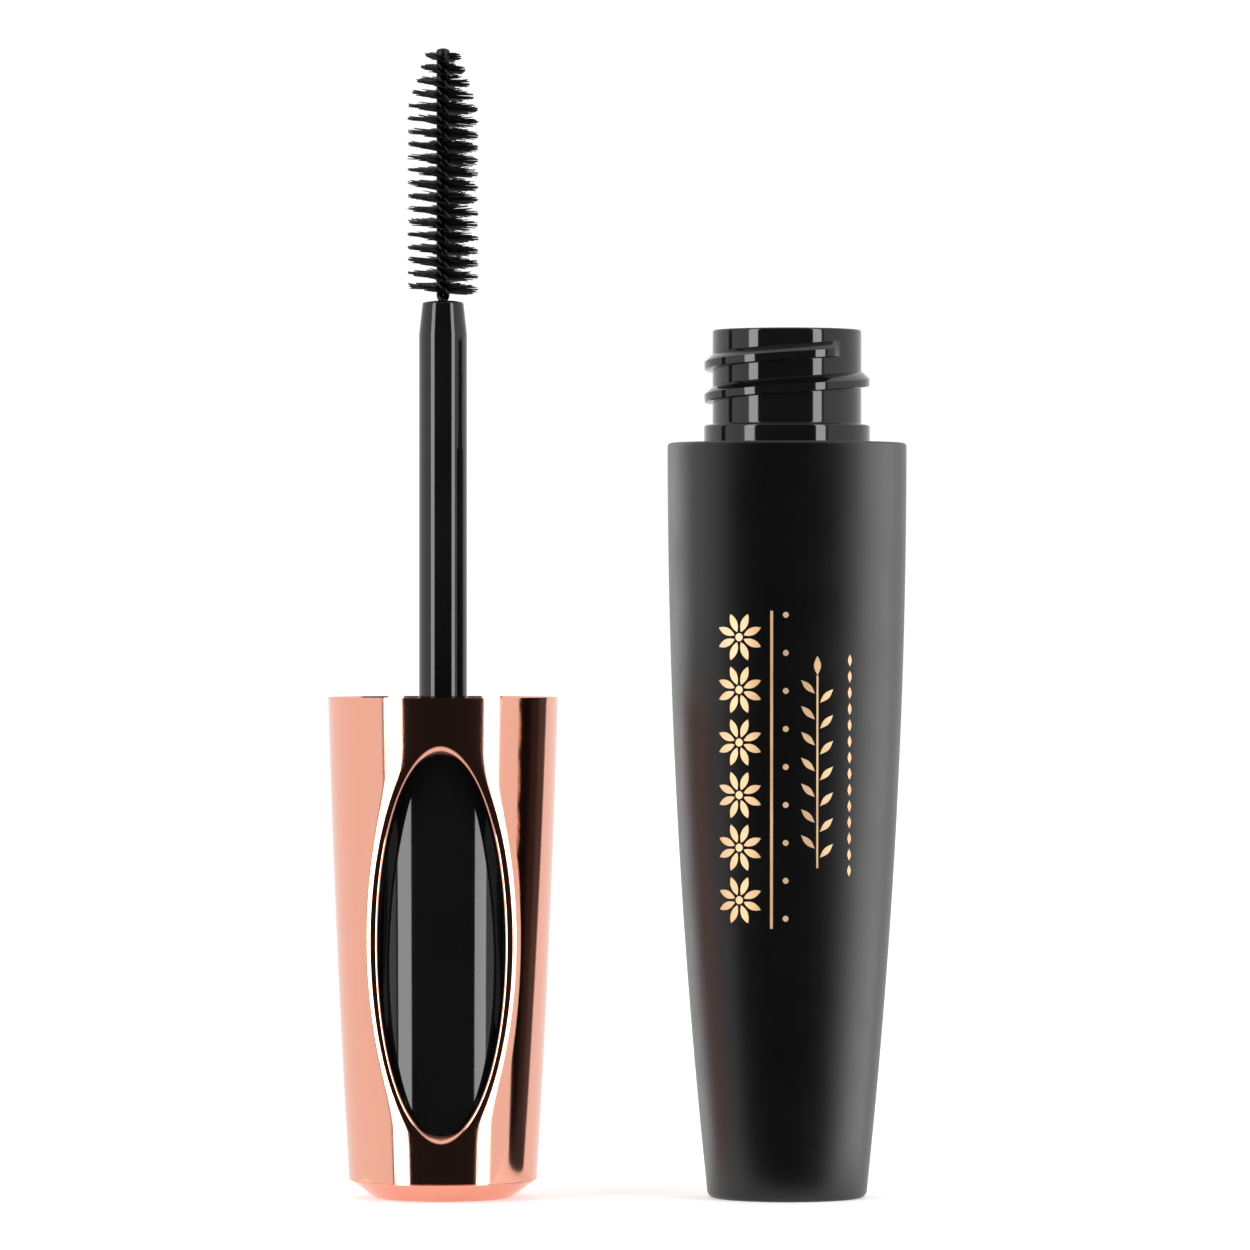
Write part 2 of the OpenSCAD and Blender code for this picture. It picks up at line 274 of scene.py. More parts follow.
# ---- materials -------------------------------------------------------------------------------
def material(name, dark, light, rough, scale=120.0, bump=0.0, bump_scale=2000.0, stretch=(1, 1, 1),
             patch=0.5, **fixed):
    """A procedural finish: colour and roughness wander a little, over a fine bump.

    fixed sets the shader's own inputs, by their names with _ for a space."""
    m = bpy.data.materials.new(name)
    m.use_nodes = True
    nodes, links = m.node_tree.nodes, m.node_tree.links
    shader = nodes["Principled BSDF"]
    place = nodes.new("ShaderNodeTexCoord")
    space = nodes.new("ShaderNodeMapping")
    space.inputs["Scale"].default_value = stretch
    links.new(place.outputs["Object"], space.inputs["Vector"])
    wander = nodes.new("ShaderNodeTexNoise")
    wander.inputs["Scale"].default_value = scale
    wander.inputs["Detail"].default_value = 6
    wander.inputs["Roughness"].default_value = patch
    links.new(space.outputs["Vector"], wander.inputs["Vector"])
    ramp = nodes.new("ShaderNodeValToRGB")
    ramp.color_ramp.elements[0].position = 0.32
    ramp.color_ramp.elements[0].color = (*dark, 1)
    ramp.color_ramp.elements[1].position = 0.68
    ramp.color_ramp.elements[1].color = (*light, 1)
    links.new(wander.outputs["Fac"], ramp.inputs["Fac"])
    links.new(ramp.outputs["Color"], shader.inputs["Base Color"])
    spread = nodes.new("ShaderNodeMapRange")
    spread.inputs["From Min"].default_value = 0.3
    spread.inputs["From Max"].default_value = 0.7
    spread.inputs["To Min"].default_value = rough[0]
    spread.inputs["To Max"].default_value = rough[1]
    links.new(wander.outputs["Fac"], spread.inputs["Value"])
    links.new(spread.outputs["Result"], shader.inputs["Roughness"])
    if bump:
        grain = nodes.new("ShaderNodeTexNoise")
        grain.inputs["Scale"].default_value = bump_scale
        grain.inputs["Detail"].default_value = 3
        links.new(space.outputs["Vector"], grain.inputs["Vector"])
        relief = nodes.new("ShaderNodeBump")
        relief.inputs["Strength"].default_value = bump
        relief.inputs["Distance"].default_value = 0.00004
        links.new(grain.outputs["Fac"], relief.inputs["Height"])
        links.new(relief.outputs["Normal"], shader.inputs["Normal"])
    for key, value in fixed.items():
        shader.inputs[key.replace("_", " ")].default_value = value
    return m


soft_touch = material("soft_touch_black", (0.0030, 0.0030, 0.0032), (0.0042, 0.0041, 0.0042),
                      (0.36, 0.42), scale=180, bump=0.16, bump_scale=5200,
                      Specular_IOR_Level=0.5, Sheen_Weight=0.08, Sheen_Roughness=0.3,
                      Sheen_Tint=(1.0, 1.0, 1.0, 1))
gloss_black = material("gloss_black", (0.0035, 0.0035, 0.0040), (0.0060, 0.0058, 0.0062),
                       (0.045, 0.085), scale=90, bump=0.03, bump_scale=420)
rose_gold = material("rose_gold", (0.86, 0.405, 0.295), (0.88, 0.425, 0.312), (0.07, 0.10),
                     scale=160, bump=0.02, bump_scale=900, stretch=(1, 1, 0.25), Metallic=1.0)
foil = material("gold_foil", (0.74, 0.46, 0.24), (0.92, 0.62, 0.36), (0.36, 0.46), scale=160,
                bump=0.3, bump_scale=4200, Metallic=0.45)
wiper_plastic = material("wiper_plastic", (0.66, 0.66, 0.62), (0.74, 0.74, 0.70), (0.3, 0.42),
                         scale=300, bump=0.06, bump_scale=1500, Subsurface_Weight=0.25,
                         Subsurface_Scale=0.002)
wire_metal = material("wire_metal", (0.014, 0.014, 0.015), (0.034, 0.034, 0.036), (0.32, 0.44),
                      scale=900, bump=0.15, bump_scale=3000, Metallic=1.0)
nylon = material("nylon", (0.0022, 0.0022, 0.0024), (0.006, 0.006, 0.0065), (0.4, 0.55),
                 scale=1500, bump=0.05, bump_scale=5000, Specular_IOR_Level=0.3)
formula_wet = material("formula_wet", (0.002, 0.002, 0.002), (0.006, 0.005, 0.005), (0.12, 0.3),
                       scale=500, bump=0.5, bump_scale=700)
foam = material("seal_foam", (0.72, 0.71, 0.68), (0.84, 0.83, 0.80), (0.75, 0.9), scale=2500,
                bump=0.8, bump_scale=3500)
steel = material("turned_steel", (0.36, 0.36, 0.37), (0.52, 0.52, 0.53), (0.22, 0.38), scale=300,
                 bump=0.3, bump_scale=900, stretch=(0.2, 0.2, 6), Metallic=1.0)
base_plastic = material("base_plastic", (0.006, 0.006, 0.0065), (0.012, 0.012, 0.0125),
                        (0.4, 0.55), scale=300, bump=0.35, bump_scale=3800)


# ---- bottle ----------------------------------------------------------------------------------
FLANGE_T, PLUG_T, PLUG_R, WALL = 1.2, 1.6, 6.6, 1.1
WALL_Z0, WALL_Z1 = 2.0, CASING_H - 0.9  # the plain wall, between its rounded foot and rim
outline = rounded([(PLUG_R, 0, 0.12), (casing_r(0), 0, 1.0), (casing_r(WALL_Z0), WALL_Z0)],
                  10)[:-1]
outline += along(WALL_Z0, WALL_Z1, casing_r, 40)
outline += rounded([(casing_r(WALL_Z1), WALL_Z1), (CASING_R, CASING_H, 0.36),
                    (COLLAR_R + 0.02, CASING_H, 0.12),
                    (COLLAR_R + 0.02, CASING_H - FLANGE_T)], 8)[1:]
outline += along(CASING_H - FLANGE_T, PLUG_T, lambda z: casing_r(z) - WALL, 12)
outline += [(PLUG_R, PLUG_T)]
casing = make("casing_soft_touch", *lathe(outline, segments=224), soft_touch, "bottle",
              ["bottle_casing"], "soft_touch_black")

outline = rounded([(0, 0.25), (2.2, 0.25), (2.5, 0.12, 0.1), (PLUG_R - 0.9, 0.12, 0.1),
                   (PLUG_R - 0.7, 0, 0.1), (PLUG_R - 0.03, 0, 0.1), (PLUG_R - 0.03, PLUG_T, 0.2),
                   (0, PLUG_T)])
make("casing_base_disc", *lathe(outline, segments=128), base_plastic, "bottle",
     ["base_plug"], "soft_touch_black")

RING_Z, RING_R, RING_T = CASING_H - FLANGE_T, 9.4, 1.0
VIAL_R, VIAL_WALL, VIAL_FLOOR, TAPER_TOP, FOOT_R = 7.8, 0.9, 1.8, 14.0, 6.6
COLLAR_TOP = 77.2
NECK_BORE_R, SEAT_R, SEAT_T = 6.1, 6.9, 0.8  # the wiper's flange sits in the seat
outline = rounded([
    (0, PLUG_T), (FOOT_R, PLUG_T, 0.6), (VIAL_R, TAPER_TOP, 3), (VIAL_R, RING_Z - RING_T),
    (RING_R, RING_Z - RING_T, 0.15), (RING_R, RING_Z, 0.1), (COLLAR_R, RING_Z),
    (COLLAR_R, COLLAR_TOP, 0.25), (NECK_R, COLLAR_TOP, 0.18), (NECK_R, NECK_TOP, 0.22),
    (SEAT_R, NECK_TOP, 0.08), (SEAT_R, NECK_TOP - SEAT_T), (NECK_BORE_R, NECK_TOP - SEAT_T),
    (NECK_BORE_R, RING_Z - RING_T), (VIAL_R - VIAL_WALL, RING_Z - 3),
    (VIAL_R - VIAL_WALL, TAPER_TOP), (FOOT_R - VIAL_WALL, PLUG_T + VIAL_FLOOR, 1.2),
    (0, PLUG_T + VIAL_FLOOR)], 6)


def neck_ridge(h):
    crest = NECK_R + (NECK_CREST_R - NECK_R) * h
    return [(NECK_R - 0.3, -0.95), (NECK_R + 0.01, -0.92), (crest - 0.14 * h, -0.86),
            (crest - 0.03 * h, -0.78), (crest, -0.07), (NECK_R + 0.01, 0.70),
            (NECK_R - 0.3, 0.78)]


NECK_TURNS, THREAD_TOP, THREAD_END = 1.43, 84.75, -46
ridge = thread(THREAD_LEAD, THREAD_TOP - THREAD_LEAD * NECK_TURNS, THREAD_END - 360 * NECK_TURNS,
               NECK_TURNS, neck_ridge, 12)
vial = make("vial_with_neck", *joined(lathe(outline, segments=192), ridge), gloss_black, "bottle",
            ["inner_vial"], "gloss_black", 38)

ORIFICE_R = 2.45
outline = rounded([
    (5.5, NECK_TOP, 0.25), (4.7, NECK_TOP - 6.5, 2), (ORIFICE_R, TIP_Z + 1.2), (ORIFICE_R, TIP_Z),
    (ORIFICE_R + 0.75, TIP_Z, 0.2), (5.45, TIP_Z + 5), (NECK_BORE_R - 0.02, TIP_Z + 5.8),
    (NECK_BORE_R - 0.02, NECK_TOP - SEAT_T), (SEAT_R - 0.02, NECK_TOP - SEAT_T),
    (SEAT_R - 0.02, NECK_TOP, 0.12)])
make("wiper_insert", *lathe(outline, segments=128), wiper_plastic, "bottle", ["wiper"],
     "wiper_plastic")


# ---- cap shell: a turned skin with an oval window whose edge rolls in ---------------------------
HALF_W, HALF_H, WINDOW_Z = 7.25, 20.4, 25.5
LIP_W, LIP_H, LIP_DEPTH = 6.2, 18.9, 1.05
FOOT_W, FOOT_H = 6.05, 18.8
ROLL, ROLL_TURN = 1.2, math.radians(22)
SKIN = 0.3
LIP_STEPS, ROLL_STEPS, SKIN_STEPS = 12, 8, 20  # rings of the mesh, from the lip outwards
GIRTH_STEPS, HEIGHT_STEPS = 72, 44  # faces round half the cap, and up it
FAN = 24.0  # the height that counts as a quarter turn where the rays fan out


def on_skin(u, z, depth=0.0):
    """The point u along the cap's girth from its front and z up, so far below the skin."""
    r = cap_r(z) - depth
    a = u / cap_r(z) - math.pi / 2
    return (STAND_X + r * math.cos(a), r * math.sin(a), z)


def window_edge(t, w, h):
    x, z = w * math.cos(t), WINDOW_Z + h * math.sin(t)
    return cap_r(z) * math.asin(x / cap_r(z)), z


def shell_rays():
    """Where rays from the window's centre end: at the mouth, the foot and either side line."""
    ends = []
    for i in range(GIRTH_STEPS):
        ends.append((math.pi / 2 - math.pi * i / GIRTH_STEPS, CAP_H))
    for i in range(HEIGHT_STEPS):
        ends.append((-math.pi / 2, CAP_H + (CAP_Z0 - CAP_H) * i / HEIGHT_STEPS))
    for i in range(GIRTH_STEPS):
        ends.append((-math.pi / 2 + math.pi * i / GIRTH_STEPS, CAP_Z0))
    for i in range(HEIGHT_STEPS):
        ends.append((math.pi / 2, CAP_Z0 + (CAP_H - CAP_Z0) * i / HEIGHT_STEPS))
    return ends


def shell_skin():
    """The cap's skin: rings round the window on its front half, and a plain grid on its back."""
    ends = shell_rays()
    mids = [math.atan2((z - WINDOW_Z) / FAN, a * 2 / math.pi) for a, z in ends]
    columns = []
    for (end_a, end_z), t in zip(ends, mids):
        u, z = window_edge(t, HALF_W, HALF_H)
        du, dz = window_edge(t + 0.01, HALF_W, HALF_H)
        eu, ez = window_edge(t - 0.01, HALF_W, HALF_H)
        out = unit((dz - ez, -(du - eu), 0))
        # the skin leans in beside the window, most at its widest
        lean = math.sin(ROLL_TURN) * abs(math.cos(t)) ** 3.6 / (2 * ROLL)

        def rolled(d):
            return on_skin(u + out[0] * d, z + out[1] * d, lean * max(0.0, ROLL - d) ** 2)

        edge, outside = rolled(0), rolled(0.04)
        along_skin = unit([edge[k] - outside[k] for k in range(3)])
        x, lip_z = LIP_W * math.cos(t), WINDOW_Z + LIP_H * math.sin(t)
        lip = (STAND_X + x, -math.sqrt((cap_r(lip_z) - LIP_DEPTH) ** 2 - x * x), lip_z)
        reach = math.dist(edge, lip)
        inward = unit((-0.4 * math.cos(t), 0.92, -0.4 * math.sin(t)))
        first = [edge[k] + along_skin[k] * 0.5 * reach for k in range(3)]
        second = [lip[k] - inward[k] * 0.4 * reach for k in range(3)]
        column = []
        for i in range(LIP_STEPS + 1):  # a cubic curve from the lip out to the window's edge
            s = 1 - i / LIP_STEPS
            w = ((1 - s) ** 3, 3 * s * (1 - s) ** 2, 3 * s * s * (1 - s), s ** 3)
            column.append(tuple(w[0] * edge[k] + w[1] * first[k] + w[2] * second[k] + w[3] * lip[k]
                                for k in range(3)))
        for i in range(1, ROLL_STEPS + 1):
            column.append(rolled(ROLL * i / ROLL_STEPS))
        # on across the open skin to the mouth, the foot or the side line
        u1, z1 = u + out[0] * ROLL, z + out[1] * ROLL
        a1 = u1 / cap_r(z1)
        for i in range(1, SKIN_STEPS + 1):
            s = (i / SKIN_STEPS) ** 1.15
            a2, z2 = a1 + (end_a - a1) * s, z1 + (end_z - z1) * s
            column.append(on_skin(a2 * cap_r(z2), z2))
        columns.append(column)
    n, m = len(columns), len(columns[0])
    points = [p for column in columns for p in column]
    faces = []
    for i in range(n):
        j = (i + 1) % n
        for k in range(m - 1):
            faces.append((i * m + k, i * m + k + 1, j * m + k + 1, j * m + k))
    # the back half
    base, row = len(points), HEIGHT_STEPS + 1
    for i in range(GIRTH_STEPS + 1):
        a = math.pi / 2 + math.pi * i / GIRTH_STEPS
        for k in range(row):
            z = CAP_Z0 + (CAP_H - CAP_Z0) * k / HEIGHT_STEPS
            points.append(on_skin(a * cap_r(z), z))
    for i in range(GIRTH_STEPS):
        for k in range(HEIGHT_STEPS):
            c = base + i * row + k
            faces.append((c, c + row, c + row + 1, c + 1))
    return points, faces


shell = make("cap_metal_shell", *shell_skin(), rose_gold, "applicator", ["cap_shell"],
             "rose_gold", 0)
work = bmesh.new()
work.from_mesh(shell.data)
bmesh.ops.remove_doubles(work, verts=work.verts, dist=0.004 * MM)
bmesh.ops.recalc_face_normals(work, faces=work.faces)
back = max(work.faces, key=lambda f: f.calc_center_median().y)
if back.normal.y < 0:
    bmesh.ops.reverse_faces(work, faces=work.faces)
work.to_mesh(shell.data)
work.free()
thick = shell.modifiers.new("thickness", "SOLIDIFY")
thick.thickness = SKIN * MM
thick.offset = -1
thick.use_rim = True
bpy.context.view_layer.update()
solid = bpy.data.meshes.new_from_object(shell.evaluated_get(bpy.context.evaluated_depsgraph_get()))
shell.modifiers.clear()
shell.data = solid
for p in solid.polygons:
    p.use_smooth = True
solid.set_sharp_from_angle(angle=math.radians(50))


def surround(wide=0.3, over=0.12, steps=160):
    """The liner's raised rim round the window, from its face to just under the metal's lip."""
    points, faces = [], []
    for i in range(steps):
        t = TAU * i / steps
        for w, h, below_lip in ((LIP_W, LIP_H, over), (FOOT_W, FOOT_H, None),
                                (FOOT_W + wide, FOOT_H + wide, None),
                                (LIP_W + wide, LIP_H + wide, over + SKIN)):
            x, z = w * math.cos(t), WINDOW_Z + h * math.sin(t)
            r = liner_r(z) - 0.1 if below_lip is None else cap_r(z) - LIP_DEPTH - below_lip
            points.append((STAND_X + x, -math.sqrt(r * r - x * x), z))
    for i in range(steps):
        j = (i + 1) % steps
        for k in range(4):
            m = (k + 1) % 4
            faces.append((i * 4 + k, j * 4 + k, j * 4 + m, i * 4 + m))
    return points, faces


SPIGOT_R = cap_r(CAP_Z0) - 0.5
outline = rounded([
    (0, 0.0), (6.6, 0, 0.1), (6.95, 0.12, 0.15), (cap_r(CAP_Z0) - 0.14, CAP_Z0 - 0.1, 0.16),
    (cap_r(CAP_Z0) - 0.22, CAP_Z0 + 0.02), (SPIGOT_R, CAP_Z0 + 0.02), (SPIGOT_R, LINER_Z0 - 0.1),
    (0, LINER_Z0 - 0.1)], 6)
make("cap_end_disc", *lathe(outline, STAND_X, 192), rose_gold, "applicator", ["cap_end_plug"],
     "rose_gold", 40)

# ---- liner and stem --------------------------------------------------------------------------
LIP_Z = LINER_Z1 - 1.2
LIP_R = cap_r(LINER_Z1) - 0.6
WEB_T, LINER_WALL, HUB_R = 1.5, 0.9, 3.6
outline = rounded([
    (liner_r(LINER_Z0), LINER_Z0, 0.2), (liner_r(LIP_Z), LIP_Z), (LIP_R, LIP_Z),
    (LIP_R, LINER_Z1, 0.15), (LINER_BORE_R, LINER_Z1, 0.35), (LINER_BORE_R, WEB_Z, 0.3),
    (STEM_R + 0.01, WEB_Z), (STEM_R + 0.01, STEM_Z0), (HUB_R, STEM_Z0, 0.3),
    (HUB_R, WEB_Z - WEB_T, 0.4), (liner_r(WEB_Z) - LINER_WALL, WEB_Z - WEB_T, 0.4),
    (liner_r(LINER_Z0) - LINER_WALL, LINER_Z0)], 6)


def cap_ridge(h):
    root = LINER_BORE_R + 0.25
    crest = LINER_BORE_R - (LINER_BORE_R - LINER_CREST_R) * h
    mid = LINER_BORE_R - 0.55 * (LINER_BORE_R - crest)
    return [(root, -0.72), (LINER_BORE_R - 0.01, -0.62), (mid, -0.4), (crest + 0.05 * h, -0.2),
            (crest, -0.09), (crest, 0.09), (crest + 0.05 * h, 0.2), (mid, 0.4),
            (LINER_BORE_R - 0.01, 0.62), (root, 0.72)]


# half a pitch below the neck's ridge when the cap goes on, and turned over as it stands here
CAP_TURNS, RIDGE_FADE, TURN_AXIS_Z, SHUT_GAP = 1.15, 14, 102.5, 0.125
insert_travel = 2 * TURN_AXIS_Z - CAP_H - CASING_H - SHUT_GAP - THREAD_LEAD
start_z = (2 * TURN_AXIS_Z - insert_travel
           - (THREAD_TOP - THREAD_LEAD / 2 + THREAD_LEAD * RIDGE_FADE / 360))
start_angle = 180 - (THREAD_END + RIDGE_FADE)
ridge = thread(THREAD_LEAD, start_z - THREAD_LEAD * CAP_TURNS, start_angle - 360 * CAP_TURNS,
               CAP_TURNS, cap_ridge, RIDGE_FADE, STAND_X, inward=True)
make("cap_liner", *joined(lathe(outline, STAND_X, 192), ridge, surround()), gloss_black,
     "applicator", ["inner_cap"], "gloss_black", 38)

WIRE_HOLE_R = 2 * STRAND_R + 0.02
outline = rounded([
    (1.3, STEM_Z0, 0.1), (STEM_R - 0.01, STEM_Z0, 0.15), (STEM_R - 0.01, WEB_Z),
    (STEM_R - 0.01, WEB_Z + 0.02), (HUB_R, WEB_Z + 0.02, 0.15), (HUB_R, WEB_Z + 1, 0.2),
    (STEM_R, WEB_Z + 1, 0.15), (STEM_R, STEM_Z1 - 3.3, 4), (2.05, STEM_Z1 - 0.16, 0.22),
    (1.4, STEM_Z1, 0.6), (WIRE_HOLE_R, STEM_Z1, 0.05), (WIRE_HOLE_R, WIRE_Z0),
    (1.3, WIRE_Z0)], 6)
make("wand_stem", *lathe(outline, STAND_X, 96), gloss_black, "applicator", ["stem"], "gloss_black")


# ---- brush -----------------------------------------------------------------------------------
def twist(z):
    """Angle of the wire's strands at a height: a left-handed twist."""
    return -TAU * (z - WIRE_Z0) / TWIST_LEAD


strands = []
for side in (0, math.pi):
    path = []
    z0, z1 = WIRE_Z0 + 0.3, BRUSH_Z1 - 0.75
    count = int((z1 - z0) / TWIST_LEAD * 28)
    for i in range(count + 1):
        z = z0 + (z1 - z0) * i / count
        a = twist(z) + side
        path.append((STAND_X + STRAND_REACH * math.cos(a), STRAND_REACH * math.sin(a), z))
    # the strands close in at the brush's end, and thin out over their last steps
    for i, (reach, lift) in enumerate(((0.29, 0.10), (0.20, 0.22), (0.06, 0.30))):
        a = twist(z1 + 0.1 * (i + 1)) + side
        path.append((STAND_X + reach * math.cos(a), reach * math.sin(a), z1 + lift))
    full = len(path) - 1
    strands.append(tube(path, lambda s: STRAND_R * min(1.0, 0.35 + 0.65 * (1 - s) * full / 3), 12))
tip = BRUSH_Z1 - 0.03
dome = lathe(rounded([(0, tip - 1.1), (0.55, tip - 1.1, 0.1), (0.70, tip - 0.7, 0.3),
                      (0.66, tip - 0.14, 0.3), (0.2, tip, 0.3), (0, tip)]), STAND_X, 32)
make("twisted_wire", *joined(*strands, dome), wire_metal, "applicator", ["brush_wire"], "wire", 60)

draw = random.Random(4417)
fibres = []
FIBRES_PER_MM = 32
LOWEST, HIGHEST = BRUSH_Z0 + 0.25, BRUSH_Z1 - 0.5
ROOT_R, JOINTS = 0.2, 6
TILT = 0.062  # the fibres lean with the wire's twist
count = int((HIGHEST - LOWEST) * FIBRES_PER_MM)
for i in range(count):
    z = LOWEST + (HIGHEST - LOWEST) * (i + 0.8 * draw.random()) / count
    square = twist(z) + math.pi / 2
    for side in (0, math.pi):
        a = square + side + draw.gauss(0, 0.06)
        reach = (brush_r(z) - 0.03) * (1 - abs(draw.gauss(0, 0.02)))
        if draw.random() < 0.12:  # a short one
            reach *= draw.uniform(0.6, 0.92)
        rise = draw.gauss(0.0, 0.07)
        curl = draw.gauss(0.05, 0.07)
        swing = draw.gauss(0, 0.05)
        path = []
        for k in range(JOINTS + 1):
            s = k / JOINTS
            r = ROOT_R + (reach - ROOT_R) * s
            b = a + swing * s * s
            up = rise * s + curl * s * s - TILT * r * math.cos(b)
            path.append((STAND_X + r * math.cos(b), r * math.sin(b),
                         min(BRUSH_Z1 - 0.1, max(BRUSH_Z0 + 0.05, z + up))))
        thin = draw.uniform(0.062, 0.078)
        # thicker where it leaves the wire, and tapered to its tip
        fibres.append(tube(path, lambda s: thin * (1 + max(0, 1 - 3.2 * s) - 0.4 * s ** 3), 5))
make("bristle_fibres", *joined(*fibres), nylon, "applicator", ["bristles"], "nylon", 0)

# ---- foil ornament on the casing's front -------------------------------------------------------
FOIL_LIFT, FOIL_SINK = 0.025, 0.02


def foil_patch(shape, across, up):
    """A thin closed patch of foil. shape(u, v), both 0 to 1, gives (girth from the front, z)."""
    points, faces = [], []
    for lift in (FOIL_LIFT, -FOIL_SINK):
        for i in range(across + 1):
            for j in range(up + 1):
                x, z = shape(i / across, j / up)
                r = casing_r(z) + lift
                a = x / casing_r(z) - math.pi / 2
                points.append((r * math.cos(a), r * math.sin(a), z))
    row, layer = up + 1, (across + 1) * (up + 1)
    for i in range(across):
        for j in range(up):
            a = i * row + j
            faces.append((a, a + row, a + row + 1, a + 1))
            faces.append((layer + a, layer + a + 1, layer + a + row + 1, layer + a + row))
    for i in range(across):
        for a, b in ((i * row, (i + 1) * row), ((i + 1) * row + up, i * row + up)):
            faces.append((a, layer + a, layer + b, b))
    for j in range(up):
        for a, b in ((j + 1, j), (across * row + j, across * row + j + 1)):
            faces.append((a, layer + a, layer + b, b))
    return points, faces


def bar(x, z0, z1, width):
    return foil_patch(lambda u, v: (x + width * (u - 0.5), z0 + (z1 - z0) * v), 1, 48)


def leaf(x, z, length, width, tilt, fullness=1.0):
    """A pointed oval lying along tilt, in radians from level."""
    def shape(u, v):
        along_it = length * (u - 0.5)
        half = max(0.01, width / 2 * math.sin(math.pi * min(1, max(0, u))) ** fullness)
        off = half * (2 * v - 1)
        return (x + along_it * math.cos(tilt) - off * math.sin(tilt),
                z + along_it * math.sin(tilt) + off * math.cos(tilt))
    return foil_patch(shape, 14, 2)


UPRIGHT = math.pi / 2
DAISY_X, TWIG_X = -5.1, 2.8
PETALS, PETAL_REACH = 8, 1.5
motifs = [bar(-1.75, 27.2, 58.6, 0.28), bar(TWIG_X, 33.2, 52.2, 0.2)]
for k in range(6):  # daisies
    heart = 30.0 + 5.2 * k
    for petal in range(PETALS):
        turn = TAU * (petal + 0.5) / PETALS
        motifs.append(leaf(DAISY_X + PETAL_REACH * math.cos(turn),
                           heart + PETAL_REACH * math.sin(turn), 1.9, 0.74, turn, 0.8))
    motifs.append(leaf(DAISY_X, heart, 0.8, 0.8, 0, 0.5))
for k in range(9):  # beads
    motifs.append(leaf(-0.35, 28.2 + 3.75 * k, 0.6, 0.6, 0, 0.5))
for k in range(7):  # a twig
    for side in (1, -1):
        z = 34.9 + 2.55 * k + (0.9 if side < 0 else 0)
        motifs.append(leaf(TWIG_X + side * 0.95, z, 1.9, 0.62, UPRIGHT - side * 0.8, 1.1))
motifs.append(leaf(TWIG_X, 53.2, 1.9, 0.7, UPRIGHT, 1.1))
for k in range(14):  # a chain of slim ovals
    motifs.append(leaf(6.3, 32.9 + 1.6 * k, 1.15, 0.42, UPRIGHT))
make("casing_foil_ornament", *joined(*motifs), foil, "bottle", slot="rose_gold", sharp=40)

# ---- CAD nodes that stay, with their finishes ------------------------------------------------
for node, finish in (("mascara_formula", formula_wet), ("seal_ring", foam), ("cap_weight", steel),
                     ("stem_stopper", wiper_plastic)):
    NODES[node].data.materials.clear()
    NODES[node].data.materials.append(finish)

# ---- floor, light and camera -----------------------------------------------------------------
scene = bpy.context.scene
scene.view_settings.view_transform = "Standard"

pale = bpy.data.materials.new("pale_floor")
pale.use_nodes = True
for key, value in (("Base Color", (0.93, 0.93, 0.93, 1)), ("Roughness", 0.9),
                   ("Specular IOR Level", 0.1), ("Emission Color", (1, 1, 1, 1)),
                   ("Emission Strength", 0.35)):
    pale.node_tree.nodes["Principled BSDF"].inputs[key].default_value = value


def floor_piece(name, centre, half_x, half_y, sides=96):
    mesh = bpy.data.meshes.new(name)
    mesh.from_pydata([(half_x * math.cos(TAU * k / sides), half_y * math.sin(TAU * k / sides), 0)
                      for k in range(sides)], [], [tuple(range(sides))])
    mesh.materials.append(pale)
    piece = bpy.data.objects.new(name, mesh)
    piece.location = centre
    scene.collection.objects.link(piece)
    return piece


# The wide floor is left out of reflections; a mat under the object stands for it there
floor = floor_piece("floor", (0, 0, -0.00002), 3.0, 3.0)
floor.visible_glossy = False
floor_piece("floor_mat", (STAND_X / 2 * MM, 0, -0.00001), 0.040, 0.013)

# A white studio: strip boxes left and right of the camera, and a dark gap between them
world = bpy.data.worlds.new("studio")
scene.world = world
world.use_nodes = True
nodes, links = world.node_tree.nodes, world.node_tree.links
nodes.clear()


def math_node(operation, *inputs):
    n = nodes.new("ShaderNodeMath")
    n.operation = operation
    for socket, value in zip(n.inputs, inputs):
        if isinstance(value, (int, float)):
            socket.default_value = value
        else:
            links.new(value, socket)
    return n.outputs[0]


direction = nodes.new("ShaderNodeTexCoord")
split = nodes.new("ShaderNodeSeparateXYZ")
links.new(direction.outputs["Generated"], split.inputs[0])
to_front = math_node("MULTIPLY", split.outputs["Y"], -1.0)
bearing = math_node("ARCTAN2", split.outputs["X"], to_front)
compass = math_node("ADD", math_node("DIVIDE", bearing, TAU), 0.5)
ramp = nodes.new("ShaderNodeValToRGB")
ramp.color_ramp.interpolation = "LINEAR"
BANDS = [  # bearing from the camera's side in degrees, positive to the right, and brightness
    (-180, 1.0), (-63, 1.0), (-62, 0.016), (51, 0.016), (53, 0.25), (57, 0.25), (59, 1.0),
    (180, 1.0)]
elements = ramp.color_ramp.elements
while len(elements) < len(BANDS):
    elements.new(0.5)
for element, (degrees, bright) in zip(elements, BANDS):
    element.position = (degrees + 180) / 360
    element.color = (bright, bright, bright, 1)
links.new(compass, ramp.inputs["Fac"])
